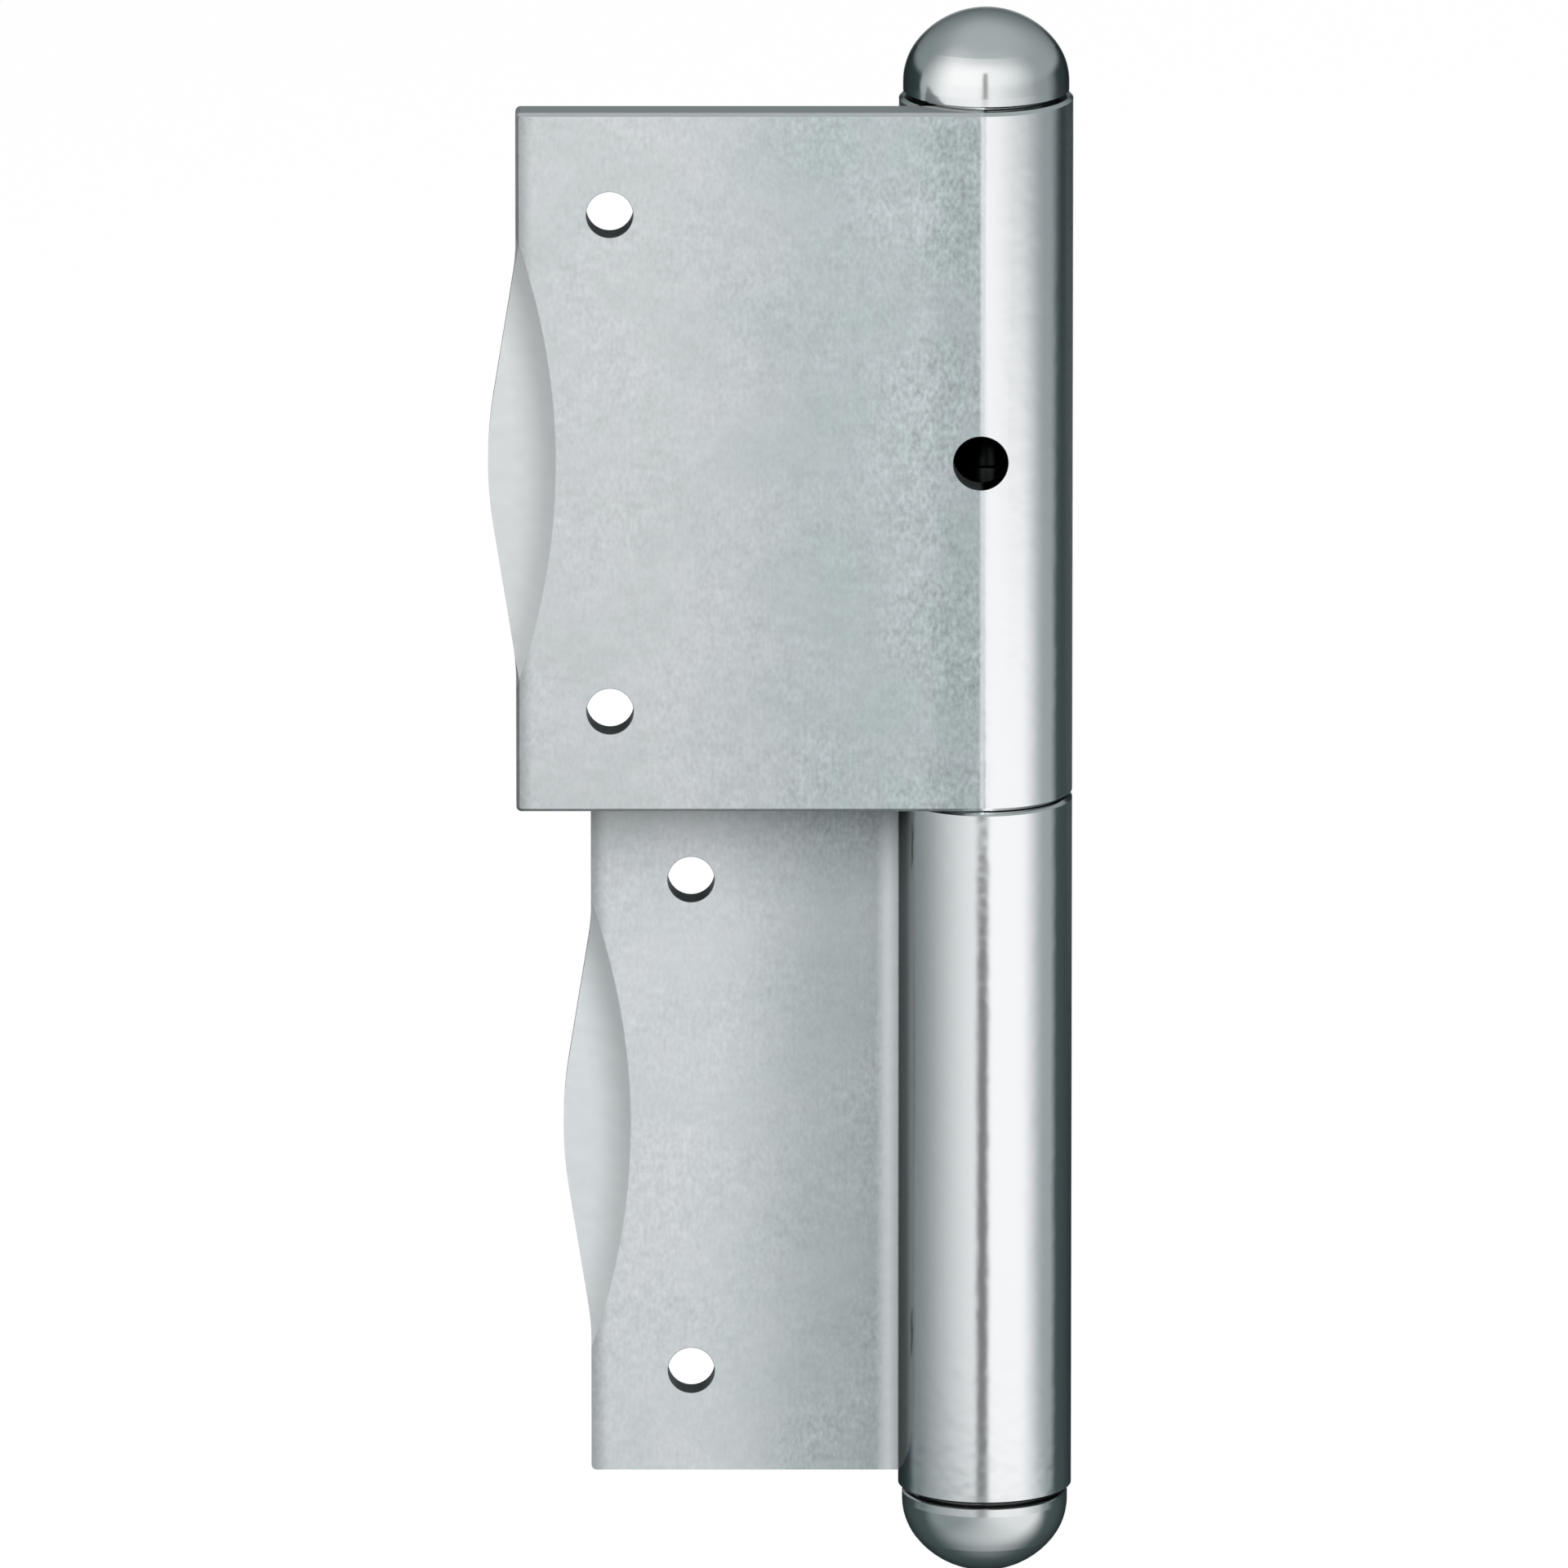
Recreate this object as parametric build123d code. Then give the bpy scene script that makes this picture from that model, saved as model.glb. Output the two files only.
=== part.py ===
from build123d import *
import os
from math import asin, atan2, degrees, radians, sqrt, tan

# A lift-off window hinge in zinc-plated steel, in millimetres, with +Z up along the pin.
# Two sheet leaves are rolled into knuckles. The lower knuckle holds a long headed pin, and the
# upper knuckle drops over it and is closed by a short headed plug. At rest both leaves point to
# -X, as when the window stands wide open: the upper leaf lies flush with the front of the barrel
# and the lower leaf with its back, so that at a half turn they come into one plane.

# Barrel
overall_length = 120.0
knuckle_diameter = 13.0
head_height = 6.5
running_gap = 0.1

# Sheet
sheet_thickness = 2.5
seam_gap = 0.1
rim_chamfer = 0.25
corner_round = 0.4

# Leaves, measured from the pin's axis to the straight stretches of the leading edge
upper_leaf_reach = 35.0
lower_leaf_reach = 29.5

# Fixing holes, two in a line up each leaf
fixing_hole_diameter = 3.5
fixing_hole_spacing = 38.0
upper_hole_reach = 28.0
lower_hole_reach = 22.0

# Belly of the leading edge: straight flanks, a round crown and eased ends
belly_half_length = 15.4
belly_flank_angle = 9.1
belly_crown_radius = 31.0
belly_end_radius = 15.0

# Hollow coined into both faces of the belly by a round punch, which slopes in and then lies flat
punch_radius = 52.0
punch_overlap = 3.0
coin_depth = 0.5
coin_slope_width = 3.0

# Oil hole through the front of the upper knuckle, a little to the leaf's side of the pin's axis
oil_hole_diameter = 4.1
oil_hole_offset = 0.4

# Pins
running_clearance = 0.05
plug_clearance = 0.02
pin_reach_above_joint = 24.0
plug_end_above_joint = 29.6
pin_point_chamfer = 0.8
head_diameter = 12.4
head_dome_height = 5.5
head_shoulder_radius = 4.8
head_neck_diameter = 10.8
head_neck_height = 0.3
head_edge_round = 0.12
plug_seat_gap = 0.05

# Worked out from the sizes above
knuckle_radius = knuckle_diameter / 2
bore_radius = knuckle_radius - sheet_thickness
knuckle_length = (overall_length - 2 * head_height - running_gap) / 2
leaf_middle = running_gap / 2 + knuckle_length / 2
barrel_end = running_gap / 2 + knuckle_length
flank_rise = belly_half_length * tan(radians(belly_flank_angle))
cut_margin = 1.0
touch = 1e-4

# The origin is midway between the lower leaf's fixing holes, on its front face
hinge_axis = Pos(lower_hole_reach, -bore_radius, leaf_middle)


def rolled_section(reach):
    """The sheet's section: a flat along the front (-Y) that rolls round the pin and back to itself."""
    end_angle = 180 + degrees(asin((bore_radius - seam_gap) / knuckle_radius))
    sweep = end_angle + 90
    outer_roll = CenterArc((0, 0), knuckle_radius, -90, sweep)
    inner_roll = CenterArc((0, 0), bore_radius, -90, sweep)
    edges = [
        Line((-reach, -bore_radius), (-reach, -knuckle_radius)),
        Line((-reach, -knuckle_radius), (0, -knuckle_radius)),
        outer_roll,
        Line(outer_roll @ 1, inner_roll @ 1),
        inner_roll,
        Line((0, -bore_radius), (-reach, -bore_radius)),
    ]
    return make_face(edges)


def leaf_outline(reach):
    """The leaf seen from the front, about its middle height, with the belly on the leading edge."""
    half_height = knuckle_length / 2
    free_side = knuckle_radius + cut_margin
    corners = [
        (free_side, -half_height),
        (-reach, -half_height),
        (-reach, -belly_half_length),
        (-reach - flank_rise, 0),
        (-reach, belly_half_length),
        (-reach, half_height),
        (free_side, half_height),
    ]
    rounds = [corner_round, belly_end_radius, belly_crown_radius, belly_end_radius, corner_round]
    leading_edge = FilletPolyline(*corners, radius=rounds)
    return Plane.XZ * make_face([leading_edge, Line(corners[-1], corners[0])])


def coining_punch(reach, face_y, inward):
    """The round punch that hollows the belly, standing in the face at face_y; inward is +1 or -1."""
    rim_x = punch_overlap - reach
    floor_x = rim_x - coin_slope_width
    core_x = -reach - flank_rise - cut_margin
    floor_y = face_y + inward * coin_depth
    outside_y = face_y - inward * cut_margin
    slope_radius = (coin_slope_width ** 2 + coin_depth ** 2) / (2 * coin_depth)
    half_way_rise = slope_radius - sqrt(slope_radius ** 2 - (coin_slope_width / 2) ** 2)
    half_way = (floor_x + coin_slope_width / 2, floor_y - inward * half_way_rise)
    profile = make_face([
        ThreePointArc((rim_x, face_y), half_way, (floor_x, floor_y)),
        Line((floor_x, floor_y), (core_x, floor_y)),
        Line((core_x, floor_y), (core_x, outside_y)),
        Line((core_x, outside_y), (rim_x, outside_y)),
        Line((rim_x, outside_y), (rim_x, face_y)),
    ])
    return revolve(profile, Axis((rim_x - punch_radius, 0, 0), (0, 1, 0)), 360)


def drilled_hole(x, z, diameter, y_from, y_to):
    """A round cutter along Y between two depths."""
    cutter = extrude(Plane.XZ.offset(-y_from) * Circle(diameter / 2), -(y_to - y_from))
    return Pos(x, 0, z) * cutter


def outer_rims(leaf):
    """The outer skin's free edges: all round the flat, then round the knuckle at both its ends."""
    rims = []
    for edge in leaf.edges():
        middle = edge @ 0.5
        on_flat = abs(middle.Y + knuckle_radius) < touch and middle.X < -touch
        on_roll = edge.geom_type == GeomType.CIRCLE and abs(edge.radius - knuckle_radius) < touch
        if on_flat or on_roll:
            rims.append(edge)
    return rims


def rolled_leaf(reach, hole_reach):
    """A leaf about its own middle height, with its flat along the front of the barrel."""
    blank = extrude(rolled_section(reach + flank_rise), knuckle_length / 2, both=True)
    trimmed = blank & extrude(leaf_outline(reach), knuckle_diameter, both=True)
    leaf = chamfer(outer_rims(trimmed), rim_chamfer)
    leaf -= coining_punch(reach, -knuckle_radius, 1)
    leaf -= coining_punch(reach, -bore_radius, -1)
    for side in (-1, 1):
        leaf -= drilled_hole(-hole_reach, side * fixing_hole_spacing / 2, fixing_hole_diameter,
                             -knuckle_radius - cut_margin, -bore_radius + cut_margin)
    return leaf


def upper_leaf():
    leaf = rolled_leaf(upper_leaf_reach, upper_hole_reach)
    leaf -= drilled_hole(-oil_hole_offset, 0, oil_hole_diameter, -knuckle_radius - cut_margin, 0)
    return hinge_axis * Pos(0, 0, leaf_middle) * leaf


def lower_leaf():
    leaf = mirror(rolled_leaf(lower_leaf_reach, lower_hole_reach), Plane.XZ)
    return hinge_axis * Pos(0, 0, -leaf_middle) * leaf


def domed_head(seat_gap):
    """The head, upright, with its narrow neck over the knuckle's end at height 0."""
    head_radius = head_diameter / 2
    neck_radius = head_neck_diameter / 2
    dome_start = head_height - head_dome_height
    corners = [
        (0, head_height),
        (0, seat_gap),
        (neck_radius, seat_gap),
        (neck_radius, head_neck_height),
        (head_radius - head_edge_round, head_neck_height),
        (head_radius, head_neck_height + head_edge_round),
        (head_radius, dome_start),
    ]
    inset = head_radius - head_shoulder_radius
    rise = head_dome_height - head_shoulder_radius
    crown_radius = (inset ** 2 + head_dome_height ** 2 - head_shoulder_radius ** 2) / (2 * rise)
    join_angle = degrees(atan2(crown_radius - head_dome_height, inset))
    shoulder = CenterArc((inset, dome_start), head_shoulder_radius, 0, join_angle)
    crown = CenterArc((0, head_height - crown_radius), crown_radius, join_angle, 90 - join_angle)
    profile = Plane.XZ * make_face([*Polyline(*corners).edges(), shoulder, crown])
    return revolve(profile, Axis.Z, 360)


def shank(radius, top, bottom):
    """A round shank between two heights."""
    return Pos(0, 0, (top + bottom) / 2) * Cylinder(radius, top - bottom)


def pointed_shank(radius, top, bottom):
    """A shank whose lower end is chamfered to find its hole."""
    plain = shank(radius, top, bottom)
    point = plain.edges().filter_by(GeomType.CIRCLE).sort_by(Axis.Z)[0]
    return chamfer(point, pin_point_chamfer, pin_point_chamfer / 2)


def top_plug():
    end = plug_end_above_joint - barrel_end
    plug = domed_head(plug_seat_gap) + pointed_shank(bore_radius - plug_clearance, plug_seat_gap, end)
    return hinge_axis * Pos(0, 0, barrel_end) * plug


def hinge_pin():
    end = -(barrel_end + pin_reach_above_joint)
    pressed = shank(bore_radius, 0, -knuckle_length)
    running = pointed_shank(bore_radius - running_clearance, -knuckle_length, end)
    pin = mirror(domed_head(0) + pressed + running, Plane.XY)
    return hinge_axis * Pos(0, 0, -barrel_end) * pin


pieces = {
    "upper_leaf": upper_leaf(),
    "lower_leaf": lower_leaf(),
    "hinge_pin": hinge_pin(),
    "top_plug": top_plug(),
}

os.makedirs("parts", exist_ok=True)
for name, piece in pieces.items():
    export_step(piece, f"parts/{name}.step")
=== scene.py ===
"""Looks of a lift-off window hinge in zinc-plated steel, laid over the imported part, in metres."""
import math

import bmesh
import bpy
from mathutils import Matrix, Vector


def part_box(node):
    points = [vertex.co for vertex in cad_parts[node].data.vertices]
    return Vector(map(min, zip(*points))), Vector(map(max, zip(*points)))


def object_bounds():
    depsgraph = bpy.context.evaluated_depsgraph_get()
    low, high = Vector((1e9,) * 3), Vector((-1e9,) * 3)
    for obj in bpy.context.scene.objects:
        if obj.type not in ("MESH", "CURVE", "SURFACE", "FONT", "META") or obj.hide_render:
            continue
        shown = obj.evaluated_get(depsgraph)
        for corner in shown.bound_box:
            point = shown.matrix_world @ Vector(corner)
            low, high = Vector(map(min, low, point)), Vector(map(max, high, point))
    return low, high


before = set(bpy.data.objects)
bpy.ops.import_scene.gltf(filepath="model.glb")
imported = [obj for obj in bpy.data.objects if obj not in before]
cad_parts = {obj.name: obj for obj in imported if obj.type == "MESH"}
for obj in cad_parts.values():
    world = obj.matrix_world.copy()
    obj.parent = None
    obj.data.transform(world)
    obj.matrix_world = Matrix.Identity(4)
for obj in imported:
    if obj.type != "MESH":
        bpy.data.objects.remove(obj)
cad_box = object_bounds()

MM = 0.001

# Sizes read from the frame
upper_low, upper_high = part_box("upper_leaf")
lower_low, lower_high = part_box("lower_leaf")
pin_low, pin_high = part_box("hinge_pin")
pin_x = (pin_low.x + pin_high.x) / 2
pin_y = (pin_low.y + pin_high.y) / 2
knuckle_radius = upper_high.x - pin_x
head_radius = (pin_high.x - pin_low.x) / 2

# Sizes of the part that its boxes don't show, with reaches measured from the pin's axis
sheet = 2.5 * MM
bore_radius = knuckle_radius - sheet
upper_reach = 35.0 * MM
upper_hole_reach = 28.0 * MM
lower_reach = 29.5 * MM
lower_hole_reach = 22.0 * MM
hole_spacing = 38.0 * MM
fixing_hole_radius = 1.75 * MM
oil_hole_radius = 2.05 * MM
oil_hole_reach = 0.4 * MM
groove_height = 0.42 * MM
coin_punch_radius = 52.0 * MM
coin_overlap = 3.0 * MM
coin_slope_width = 3.0 * MM

# Plating: how much light it gives back, and where it changes, with painted shade and a painted
# reflection among these colours
upper_plating = (0.429, 0.446, 0.452)
upper_darker_reach = 25.0 * MM
lower_plating = (0.500, 0.521, 0.529)
lower_darker_reach = 22.0 * MM
full_darker_reach = 11.0 * MM
toward_pin_plating = (0.349, 0.383, 0.389, 1)
# painted reflection: the lighter strip where the barrel is mirrored in the flat beside it
painted_reflection_plating = (0.57, 0.60, 0.61, 1)
painted_reflection_reach = 8.35 * MM
painted_reflection_fade = 1.2 * MM
rolled_plating = (0.86, 0.875, 0.89, 1)
# painted shade on the knuckle where it curls back into the crease by the flat
painted_crease_shade = (0.55, 0.57, 0.57, 1)
# the cut faces' own duller colour, also laid as painted shade on chamfers that face up
sheet_cut_and_shade_plating = (0.36, 0.38, 0.39, 1)
knuckle_cut_and_shade_plating = (0.78, 0.80, 0.81, 1)
# painted shade in the grooves under the heads
painted_groove_shade = (0.72, 0.74, 0.74, 1)
dim_head_plating = (0.79, 0.82, 0.82, 1)
bright_head_plating = (0.86, 0.87, 0.88, 1)
# painted shade inside the bore
painted_bore_shade = (0.04, 0.045, 0.04, 1)
# painted shade on the walls of the holes
painted_hole_shade = (0.10, 0.11, 0.11, 1)
edge_on_tint = (0.35, 0.37, 0.37, 1)
coin_floor_gain = 1.14
# painted shade: the coined hollow is dimmer up its slope
coin_slope_shade_gain = 0.93

# Surface
flat_roughness = 0.62
coin_roughness = 0.5
rolled_roughness = 0.13
head_roughness = (0.13, 0.19)
rolled_ripple = 1.6
leaf_bump_depth = 0.012 * MM
head_bump_depth = 0.004 * MM

# Camera
camera_elevation = math.radians(14.0)
camera_distance = 3.0
visible_width = 117.15 * MM
sensor_width = 36.0
look_at = Vector((6.96, -4.0, 27.36)) * MM

# Floor and world. The Light Path outputs named here see them as plain white.
floor_gap = 64.0 * MM
floor_half_width = 8.0
floor_glow = 0.7
world_light = 0.4
seen_directly = ("Is Camera Ray", "Is Glossy Ray", "Is Transmission Ray")

# Lamps: place from the middle of the view, width, height and watts
key_lamp = ((0.0, -1.32, 0.73), 0.42, 0.80, 21.0)
rear_lamp = ((0.0, 0.42, -0.085), 0.70, 0.06, 1.4)
fill_lamp = ((0.9, -0.8, 0.6), 0.8, 0.8, 3.0)

# Light tent. Its walls meet over these heights above its floor.
tent_radius = 0.25
tent_foot = 62.0 * MM
tent_wall_height = 0.45
tent_sides = 96
tent_low_top = (0.064, 0.139)
tent_middle_top = (0.194, 0.234)
tent_roof = (0.31, 0.66)
tent_roof_brightness = 0.47
tent_floor_left = 0.30
tent_floor_right = 0.85
tent_floor_back = 0.09

# What is left of the tent's light in a mirror that is itself seen in a mirror
second_mirror_heights = (0.13, 0.19)
second_mirror_low = 0.03
second_mirror_high = 0.7

# Dark marks in the tent's cloth, the lens and its stand: azimuth, half-width, soft rim, from and to
lens_mark = (-3.4, 0.5, 14.0, 0.0, 0.062)
stand_mark = (-1.5, 1.3, 5.0, 0.125, 0.34)
mark_brightness = 0.2

# Soft edges in the light of the tent's walls, from the back round to the back: the azimuth in degrees
# where each starts and ends, 0 at the lens side and positive to +X, and the brightness past it.
# Upright metal mirrors the low wall, and the domes mirror the other two.
tent_low = (
    (-175, -165, 0.07),  # back light to left flag
    (-120, -105, 0.27),  # left flag to side wall
    (-105, 0, 0.90),  # side wall, brighter to the front
    (0, 5, 1.05),  # front box
    (45, 85, 0.40),  # front box to grey card
    (95, 110, 0.08),  # grey card to right flag
    (165, 175, 0.90),  # right flag to back light
)
tent_middle = (
    (-175, -160, 0.05),
    (-105, -100, 0.45),
    (-100, -50, 1.05),
    (-10, 85, 0.33),
    (90, 120, 0.05),
    (160, 175, 0.90),
)
tent_high = (
    (-110, -45, 1.13),
    (-10, 85, 0.38),
    (110, 170, 0.30),
)


class Shader:
    """One node tree. Each call adds a node, fills its inputs and gives back the node or its output."""

    def __init__(self, tree):
        tree.nodes.clear()
        self.tree = tree

    def node(self, kind, inputs=None, **settings):
        node = self.tree.nodes.new(kind)
        for name, value in settings.items():
            setattr(node, name, value)
        for name, value in (inputs or {}).items():
            if isinstance(value, bpy.types.NodeSocket):
                self.tree.links.new(value, node.inputs[name])
            else:
                node.inputs[name].default_value = value
        return node

    def add(self, kind, inputs=None, output=0, **settings):
        return self.node(kind, inputs, **settings).outputs[output]

    def locate(self):
        """Adds the point in the object's own frame, whole and as x, y and z."""
        self.place = self.add("ShaderNodeTexCoord", output="Object")
        parts = self.node("ShaderNodeSeparateXYZ", {0: self.place})
        self.x, self.y, self.z = parts.outputs[:3]

    def math(self, operation, first, second=0.0, third=0.0):
        return self.add("ShaderNodeMath", {0: first, 1: second, 2: third}, operation=operation)

    def multiply(self, first, second):
        return self.math("MULTIPLY", first, second)

    def larger(self, first, second):
        return self.math("MAXIMUM", first, second)

    def off(self, value, middle):
        """How far a value is from a middle, either way."""
        return self.math("ABSOLUTE", self.math("SUBTRACT", value, middle))

    def ramp(self, value, start, end, low=0.0, high=1.0):
        """A smooth change from low at start to high at end."""
        inputs = {"Value": value, "From Min": start, "From Max": end, "To Min": low, "To Max": high}
        return self.add("ShaderNodeMapRange", inputs, interpolation_type="SMOOTHSTEP")

    def toward_pin(self, start, end, low=0.0, high=1.0):
        """A smooth change along a leaf, between two reaches from the pin's axis."""
        return self.ramp(self.x, pin_x - start, pin_x - end, low, high)

    def distance_from(self, first, second, centre):
        """Distance in one plane of the frame from an axis at centre."""
        across = self.math("SUBTRACT", first, centre[0])
        along = self.math("SUBTRACT", second, centre[1])
        squares = self.math("MULTIPLY_ADD", across, across, self.multiply(along, along))
        return self.math("SQRT", squares)

    def noise(self, size, detail=2.0, stretch=1.0):
        """Noise from 0 to 1 with lumps of that size, drawn out by stretch along Z."""
        scale = (1 / size, 1 / size, 1 / (size * stretch))
        scaled = self.add("ShaderNodeVectorMath", {0: self.place, 1: scale}, operation="MULTIPLY")
        return self.add("ShaderNodeTexNoise", {"Vector": scaled, "Scale": 1.0, "Detail": detail})

    def between(self, factor, first, second):
        """A number from first to second."""
        return self.add("ShaderNodeMix", {0: factor, 2: first, 3: second})

    def mix(self, factor, first, second, blend="MIX"):
        """A colour from first to second."""
        inputs = {0: factor, 6: first, 7: second}
        return self.add("ShaderNodeMix", inputs, output=2, data_type="RGBA", blend_type=blend)

    def tint(self, factor, colour, low, high):
        """A colour times a tint that goes from low to high."""
        return self.mix(1.0, colour, self.mix(factor, (*low, 1), (*high, 1)), "MULTIPLY")

    def scale(self, colour, amount):
        """A colour made lighter or darker."""
        return self.add("ShaderNodeVectorMath", {0: colour, "Scale": amount}, operation="SCALE")


class Leaf:
    """What the plating of one leaf goes by."""

    def __init__(self, name, flat_y, middle_z, edge_x, plating, darker_reach, holes):
        self.name = name
        self.flat_y = flat_y
        self.middle_z = middle_z
        self.edge_x = edge_x
        self.plating = plating
        self.darker_reach = darker_reach
        self.holes = holes


def fixing_holes(reach, middle_z):
    """Two holes as x, z and radius, one above the other."""
    heights = [middle_z + side * hole_spacing / 2 for side in (-1, 1)]
    return [(pin_x - reach, height, fixing_hole_radius) for height in heights]


def describe_leaves():
    """The upper leaf, flat at the front of the barrel, and the lower one, flat at its back."""
    upper_z = (upper_low.z + upper_high.z) / 2
    lower_z = (lower_low.z + lower_high.z) / 2
    upper_holes = fixing_holes(upper_hole_reach, upper_z)
    upper_holes.append((pin_x - oil_hole_reach, upper_z, oil_hole_radius))
    upper = Leaf("upper", upper_low.y + sheet / 2, upper_z, pin_x - upper_reach,
                 upper_plating, upper_darker_reach, upper_holes)
    lower = Leaf("lower", lower_high.y - sheet / 2, lower_z, pin_x - lower_reach,
                 lower_plating, lower_darker_reach, fixing_holes(lower_hole_reach, lower_z))
    return upper, lower


def new_shader(name):
    """A new material and its node tree."""
    material = bpy.data.materials.new(name)
    material.use_nodes = True
    return material, Shader(material.node_tree)


def close(shader, colour, roughness, height, depth):
    """Ends the tree in one metal surface with its bump, a little darker where it is seen edge-on."""
    normal = shader.add("ShaderNodeBump", {"Height": height, "Strength": 1.0, "Distance": depth})
    inputs = {"Base Color": colour, "Roughness": roughness, "Metallic": 1.0, "Normal": normal,
              "Specular Tint": edge_on_tint}
    surface = shader.add("ShaderNodeBsdfPrincipled", inputs)
    shader.node("ShaderNodeOutputMaterial", {"Surface": surface})


def grain_strength(shader, leaf):
    """How strong the grain is: stronger near the pin, first of all at the knuckle's two ends."""
    near_pin = shader.toward_pin(12 * MM, 2.5 * MM, 0.38, 0.95)
    near_end = shader.ramp(shader.off(shader.z, leaf.middle_z), 14 * MM, 24 * MM)
    at_ends = shader.multiply(near_end, shader.toward_pin(24 * MM, 10 * MM, 0.0, 0.7))
    patches = shader.ramp(shader.noise(9 * MM, 1.0), 0.35, 0.65, 0.5, 1.0)
    return shader.multiply(shader.larger(near_pin, at_ends), patches)


def flat_grain(shader, leaf):
    """Fine streaks and coarser mottle on the flats, about zero."""
    streaks = shader.noise(0.30 * MM, 2.0, 1.7)
    mottle = shader.noise(0.9 * MM, 2.0, 1.2)
    grain = shader.math("MULTIPLY_ADD", mottle, 0.6, streaks)
    return shader.multiply(shader.math("SUBTRACT", grain, 0.8), grain_strength(shader, leaf))


def flat_colour(shader, leaf, grain):
    """Plating on the flats, with faint clouds, darker toward the pin, and painted shade at the leading
    edge.
    """
    toward_pin_share = shader.toward_pin(leaf.darker_reach, full_darker_reach)
    colour = shader.mix(toward_pin_share, (*leaf.plating, 1), toward_pin_plating)
    beside_pin = shader.toward_pin(5 * MM, 2.5 * MM)
    colour = shader.tint(beside_pin, colour, (1, 1, 1), (0.85, 0.87, 0.865))
    clouds = shader.ramp(shader.noise(6.0 * MM, 3.0), 0.35, 0.65)
    colour = shader.tint(clouds, colour, (0.97, 0.985, 0.98), (1.03, 1.015, 1.03))
    colour = shader.scale(colour, shader.math("ADD", grain, 1.0))
    # painted shade along the leading edge, for the rounding of the sheared edge
    return shader.scale(colour, shader.ramp(shader.x, leaf.edge_x, leaf.edge_x + 1.4 * MM, 0.62, 1.0))


def painted_reflection_share(shader, leaf):
    """Painted reflection of the barrel, a lighter strip beside it on the inner face, with painted shadow
    at the top.
    """
    off_axis = shader.off(shader.y, pin_y)
    inner_face = shader.ramp(off_axis, bore_radius + 0.2 * MM, bore_radius + 0.1 * MM)
    # painted shadow: the strip is dimmed toward the leaf's top
    shadow_fade_at_top = shader.ramp(shader.z, leaf.middle_z + 26.5 * MM, leaf.middle_z + 19 * MM, 0.3, 1.0)
    strip = shader.toward_pin(painted_reflection_reach, painted_reflection_reach - painted_reflection_fade)
    return shader.multiply(shader.multiply(strip, inner_face), shadow_fade_at_top)


def rolled_share(shader, off_flat):
    """The smooth knuckle, from where the sheet leaves its flat."""
    past_tangent = shader.toward_pin(0.58 * MM, -0.05 * MM)
    round_the_pin = shader.ramp(off_flat, sheet / 2 + 0.02 * MM, sheet / 2 + 0.2 * MM)
    return shader.larger(past_tangent, round_the_pin)


def cut_and_shaded_chamfer_share(shader):
    """The sheet's upper and lower cut faces, and the chamfers facing up as painted shade, known by their
    normal.
    """
    facing = shader.node("ShaderNodeSeparateXYZ", {0: shader.add("ShaderNodeTexCoord", output="Normal")})
    # painted shade: chamfers that face up get the cut faces' colour, while those facing down stay light
    top_faces_and_shaded_chamfers = shader.ramp(facing.outputs["Z"], 0.5, 0.68)
    return shader.larger(top_faces_and_shaded_chamfers, shader.ramp(facing.outputs["Z"], -0.8, -0.95))


def coin_finish_and_shade(shader, leaf, colour):
    """The hollow that a round punch left: its share, and the colour with it, dimmer up its slope as
    painted shade.
    """
    punch = (leaf.edge_x + coin_overlap - coin_punch_radius, leaf.middle_z)
    from_punch = shader.distance_from(shader.x, shader.z, punch)
    coined = shader.ramp(from_punch, coin_punch_radius, coin_punch_radius - 0.1 * MM)
    slope_foot = coin_punch_radius - coin_slope_width
    floor_to_slope_shade = shader.ramp(from_punch, slope_foot, coin_punch_radius, coin_floor_gain, coin_slope_shade_gain)
    return coined, shader.mix(coined, colour, shader.scale(leaf.plating, floor_to_slope_shade))


def cut_finish_and_shade(shader, colour, rolled):
    """The cut faces, painted shade in the groove under the head and in the bore."""
    axis_distance = shader.distance_from(shader.x, shader.y, (pin_x, pin_y))
    # painted shade on the knuckle's end faces under the head, in the groove
    under_head = shader.ramp(axis_distance, knuckle_radius - 0.22 * MM, knuckle_radius - 0.28 * MM)
    cut_and_shade_colour = shader.mix(rolled, sheet_cut_and_shade_plating, knuckle_cut_and_shade_plating)
    cut_and_shade_colour = shader.mix(under_head, cut_and_shade_colour, painted_groove_shade)
    # the cut faces' own colour, and painted shade on the chamfers that face up
    colour = shader.mix(cut_and_shaded_chamfer_share(shader), colour, cut_and_shade_colour)
    # painted shade: the bore's inside is made near black
    inside = shader.ramp(axis_distance, bore_radius + 0.06 * MM, bore_radius + 0.02 * MM)
    return shader.mix(inside, colour, painted_bore_shade)


def hole_shade(shader, leaf, colour, off_flat):
    """Painted shade on the walls of the holes, as deep as the sheet and not through the whole barrel."""
    near_sheet = shader.ramp(off_flat, sheet, sheet - 0.2 * MM)
    for centre_x, centre_z, radius in leaf.holes:
        from_hole = shader.distance_from(shader.x, shader.z, (centre_x, centre_z))
        wall = shader.ramp(from_hole, radius + 0.05 * MM, radius + 0.01 * MM)
        colour = shader.mix(shader.multiply(wall, near_sheet), colour, painted_hole_shade)
    return colour


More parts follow.
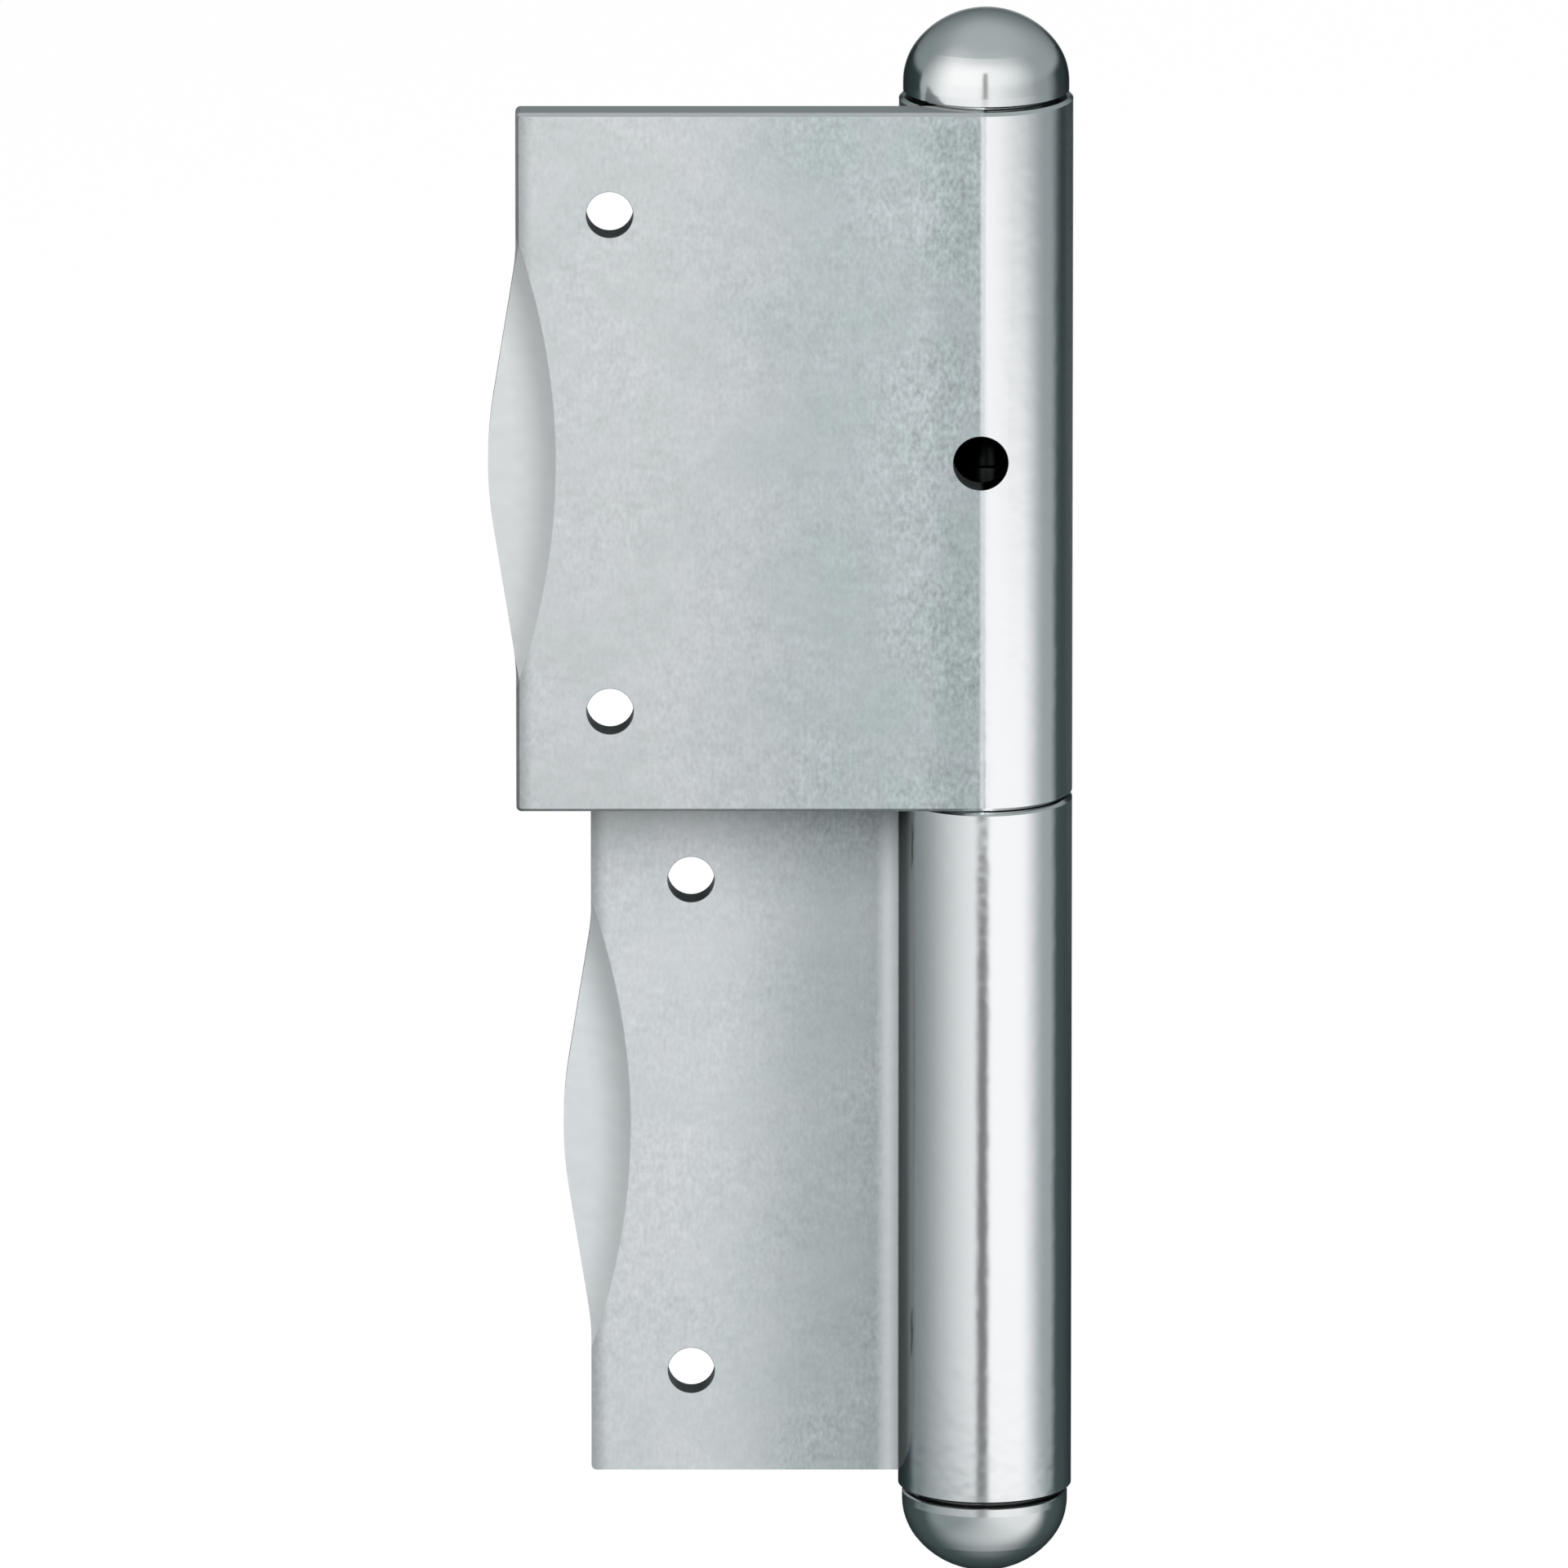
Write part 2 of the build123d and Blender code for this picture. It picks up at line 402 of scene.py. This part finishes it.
def leaf_zinc(leaf):
    """Plated sheet: grainy on the flat, smooth on the rolled knuckle and in the coined hollow."""
    material, shader = new_shader("leaf_zinc_" + leaf.name)
    shader.locate()
    grain = flat_grain(shader, leaf)
    colour = flat_colour(shader, leaf, grain)
    # painted reflection of the barrel in the flat beside it
    colour = shader.mix(painted_reflection_share(shader, leaf), colour, painted_reflection_plating)
    coined, colour = coin_finish_and_shade(shader, leaf, colour)
    off_flat = shader.off(shader.y, leaf.flat_y)
    rolled = rolled_share(shader, off_flat)
    # painted shade: the knuckle is darker where it turns back into the crease beside the flat
    crease_shade_share = shader.toward_pin(5.5 * MM, 6.0 * MM)
    colour = shader.mix(rolled, colour, shader.mix(crease_shade_share, rolled_plating, painted_crease_shade))
    colour = cut_finish_and_shade(shader, colour, rolled)
    colour = hole_shade(shader, leaf, colour, off_flat)
    roughness = shader.between(coined, flat_roughness, coin_roughness)
    roughness = shader.between(rolled, roughness, rolled_roughness)
    height = shader.multiply(grain, shader.math("SUBTRACT", 1.0, shader.larger(rolled, coined)))
    height = shader.math("MULTIPLY_ADD", shader.noise(1.6 * MM, 1.0), rolled_ripple, height)
    close(shader, colour, roughness, height, leaf_bump_depth)
    return material


def head_zinc():
    """Plated turned steel: smooth heads, with painted shade on the neck in the groove and on the shank.
    """
    material, shader = new_shader("head_zinc")
    shader.locate()
    axis_distance = shader.distance_from(shader.x, shader.y, (pin_x, pin_y))
    middle_z = (upper_high.z + lower_low.z) / 2
    groove_top = (upper_high.z - lower_low.z) / 2 + groove_height
    # painted shade on the neck and shank inside the groove
    within = shader.ramp(shader.off(shader.z, middle_z), groove_top, groove_top - 0.1 * MM)
    sunk = shader.ramp(axis_distance, head_radius - 0.25 * MM, head_radius - 0.35 * MM)
    cloud = shader.noise(3.0 * MM, 3.0)
    colour = shader.mix(cloud, dim_head_plating, bright_head_plating)
    colour = shader.mix(shader.multiply(within, sunk), colour, painted_groove_shade)
    roughness = shader.ramp(cloud, 0.3, 0.7, *head_roughness)
    close(shader, colour, roughness, shader.noise(0.8 * MM, 1.0), head_bump_depth)
    return material


def dress(node, material):
    """Gives a node of the part its material."""
    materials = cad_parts[node].data.materials
    for index in range(len(materials)):
        materials[index] = material
    if not materials:
        materials.append(material)


def stage_object(name, mesh, material):
    """Puts a bmesh on the stage, outside the object."""
    data = bpy.data.meshes.new(name)
    mesh.to_mesh(data)
    mesh.free()
    data.materials.append(material)
    thing = bpy.data.objects.new(name, data)
    bpy.context.scene.collection.objects.link(thing)
    return thing


def seen_share(shader):
    """1 where the camera, a mirror or clear matter looks this way, and 0 for the light it gives."""
    paths = shader.node("ShaderNodeLightPath")
    camera, glossy, transmission = [paths.outputs[name] for name in seen_directly]
    return shader.larger(shader.larger(camera, glossy), transmission)


def add_floor():
    """A plain white floor, lit and shadowed, with enough light of its own to look white."""
    material, shader = new_shader("floor_white")
    paint = shader.add("ShaderNodeBsdfDiffuse", {"Color": (0.85, 0.85, 0.85, 1)})
    strength = shader.multiply(seen_share(shader), floor_glow)
    glow = shader.add("ShaderNodeEmission", {"Strength": strength})
    surface = shader.add("ShaderNodeAddShader", {0: paint, 1: glow})
    shader.node("ShaderNodeOutputMaterial", {"Surface": surface})
    mesh = bmesh.new()
    bmesh.ops.create_grid(mesh, x_segments=1, y_segments=1, size=floor_half_width)
    floor = stage_object("floor", mesh, material)
    floor.location.z = cad_box[0].z - floor_gap


def cool(brightness):
    """The cloth's colour, a little colder where it is dimmer."""
    return brightness ** 1.12, brightness, brightness ** 0.99, 1


def wall_stops(edges):
    """Azimuth and brightness at both ends of each soft edge."""
    stops = []
    brightness = edges[-1][2]
    for start, end, after in edges:
        stops += [(start, brightness), (end, after)]
        brightness = after
    return stops


def cloth_ring(shader, turn, edges):
    """Colour round the tent: even cloth between soft edges."""
    wall = wall_stops(edges)
    ramp = shader.node("ShaderNodeValToRGB", {"Fac": turn})
    ramp.color_ramp.interpolation = "EASE"
    stops = ramp.color_ramp.elements
    while len(stops) < len(wall):
        stops.new(0.5)
    for stop, (degrees, brightness) in zip(stops, wall):
        stop.position = degrees / 360 + 0.5
        stop.color = cool(brightness)
    return ramp.outputs["Color"]


def mark_shade(shader, azimuth, middle, core, rim, low, high):
    """What is left of the cloth's light at a dark mark: 1 away from it."""
    across = shader.ramp(shader.off(azimuth, middle), rim, core)
    above = shader.ramp(shader.z, low - 0.002, low)
    below = shader.ramp(shader.z, high, high - 0.003)
    marked = shader.multiply(across, shader.multiply(above, below))
    return shader.ramp(marked, 0.0, 1.0, 1.0, mark_brightness)


def cloth_colour(shader):
    """The tent's walls and roof by azimuth and height, with the two dark marks."""
    azimuth = shader.math("ARCTAN2", shader.x, shader.multiply(shader.y, -1.0))
    azimuth = shader.multiply(azimuth, math.degrees(1))
    turn = shader.math("MULTIPLY_ADD", azimuth, 1 / 360, 0.5)
    low, middle, high = [cloth_ring(shader, turn, ring) for ring in (tent_low, tent_middle, tent_high)]
    colour = shader.mix(shader.ramp(shader.z, *tent_low_top), low, middle)
    colour = shader.mix(shader.ramp(shader.z, *tent_middle_top), colour, high)
    colour = shader.mix(shader.ramp(shader.z, *tent_roof), colour, cool(tent_roof_brightness))
    for mark in (lens_mark, stand_mark):
        colour = shader.scale(colour, mark_shade(shader, azimuth, *mark))
    return colour


def ground_colour(shader):
    """The tent's floor, brighter to the right and dark behind the hinge."""
    across = shader.ramp(shader.x, -0.1, 0.1)
    ground = shader.mix(across, cool(tent_floor_left), cool(tent_floor_right))
    return shader.mix(shader.ramp(shader.y, -0.05, 0.025), ground, cool(tent_floor_back))


def tent_material():
    """Cloth that glows by where it hangs round the hinge."""
    material, shader = new_shader("tent_cloth")
    shader.locate()
    on_floor = shader.ramp(shader.z, 0.001, 0.0)
    colour = shader.mix(on_floor, cloth_colour(shader), ground_colour(shader))
    depth = shader.add("ShaderNodeLightPath", output="Ray Depth")
    second_mirror = shader.ramp(shader.z, *second_mirror_heights, second_mirror_low, second_mirror_high)
    strength = shader.ramp(depth, 1.4, 1.6, 1.0, second_mirror)
    surface = shader.add("ShaderNodeEmission", {"Color": colour, "Strength": strength})
    shader.node("ShaderNodeOutputMaterial", {"Surface": surface})
    return material


def tent_profile():
    """The tent's rings as radius and height, from the middle of its floor to the top of its dome."""
    rings = [(tent_radius * 0.02, 0.0), (tent_radius, 0.0), (tent_radius, 0.002)]
    rings.append((tent_radius, tent_wall_height))
    for angle in (20, 40, 60, 80):
        tilt = math.radians(angle)
        rings.append((tent_radius * math.cos(tilt), tent_wall_height + tent_radius * math.sin(tilt)))
    return rings


def tent_mesh():
    """Rings of the profile joined by quads, with a flat cap at each end."""
    mesh = bmesh.new()
    below = None
    for radius, height in tent_profile():
        ring = []
        for side in range(tent_sides):
            turn = 2 * math.pi * side / tent_sides
            ring.append(mesh.verts.new((radius * math.sin(turn), -radius * math.cos(turn), height)))
        if below:
            for side in range(tent_sides):
                after = (side + 1) % tent_sides
                mesh.faces.new((below[side], below[after], ring[after], ring[side]))
        else:
            mesh.faces.new(ring)
        below = ring
    mesh.faces.new(below)
    return mesh


def add_tent():
    """A round light tent with a floor and a domed roof, which only the metal's reflections see."""
    tent = stage_object("light_tent", tent_mesh(), tent_material())
    tent.location = (pin_x, pin_y, cad_box[0].z - tent_foot)
    tent.visible_camera = False
    tent.visible_diffuse = False
    tent.visible_shadow = False


def add_lamp(name, place, width, height, watts):
    """A soft box that looks at the middle of the hinge."""
    light = bpy.data.lights.new(name, "AREA")
    light.shape = "RECTANGLE"
    light.size = width
    light.size_y = height
    light.energy = watts
    lamp = bpy.data.objects.new(name, light)
    lamp.location = look_at + Vector(place)
    lamp.rotation_mode = "QUATERNION"
    lamp.rotation_quaternion = Vector(place).to_track_quat("Z", "Y")
    bpy.context.scene.collection.objects.link(lamp)
    return lamp


def add_lamps():
    """The lamps before and behind light the two leaves alone, so that the domes don't mirror them."""
    leaves_only = bpy.data.collections.new("leaves_only")
    for node in ("upper_leaf", "lower_leaf"):
        leaves_only.objects.link(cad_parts[node])
    for name, size in (("key_lamp", key_lamp), ("rear_lamp", rear_lamp)):
        add_lamp(name, *size).light_linking.receiver_collection = leaves_only
    add_lamp("fill_lamp", *fill_lamp)


def set_world():
    """White where it is seen, and a soft light elsewhere."""
    world = bpy.data.worlds.new("studio")
    world.use_nodes = True
    bpy.context.scene.world = world
    shader = Shader(world.node_tree)
    strength = shader.between(seen_share(shader), world_light, 1.0)
    surface = shader.add("ShaderNodeBackground", {"Strength": strength})
    shader.node("ShaderNodeOutputWorld", {"Surface": surface})


def add_camera():
    """A long lens that looks down at the front, as in the photograph."""
    camera_data = bpy.data.cameras.new("camera")
    camera_data.sensor_width = sensor_width
    camera_data.lens = sensor_width * camera_distance / visible_width
    camera_data.clip_end = 20.0
    camera = bpy.data.objects.new("camera", camera_data)
    back = Vector((0, -math.cos(camera_elevation), math.sin(camera_elevation)))
    camera.location = look_at + back * camera_distance
    camera.rotation_mode = "QUATERNION"
    camera.rotation_quaternion = back.to_track_quat("Z", "Y")
    bpy.context.scene.collection.objects.link(camera)
    bpy.context.scene.camera = camera


for leaf in describe_leaves():
    dress(leaf.name + "_leaf", leaf_zinc(leaf))
head_finish = head_zinc()
dress("hinge_pin", head_finish)
dress("top_plug", head_finish)

add_floor()
add_tent()
add_lamps()
set_world()
add_camera()
bpy.context.scene.view_settings.view_transform = "Standard"
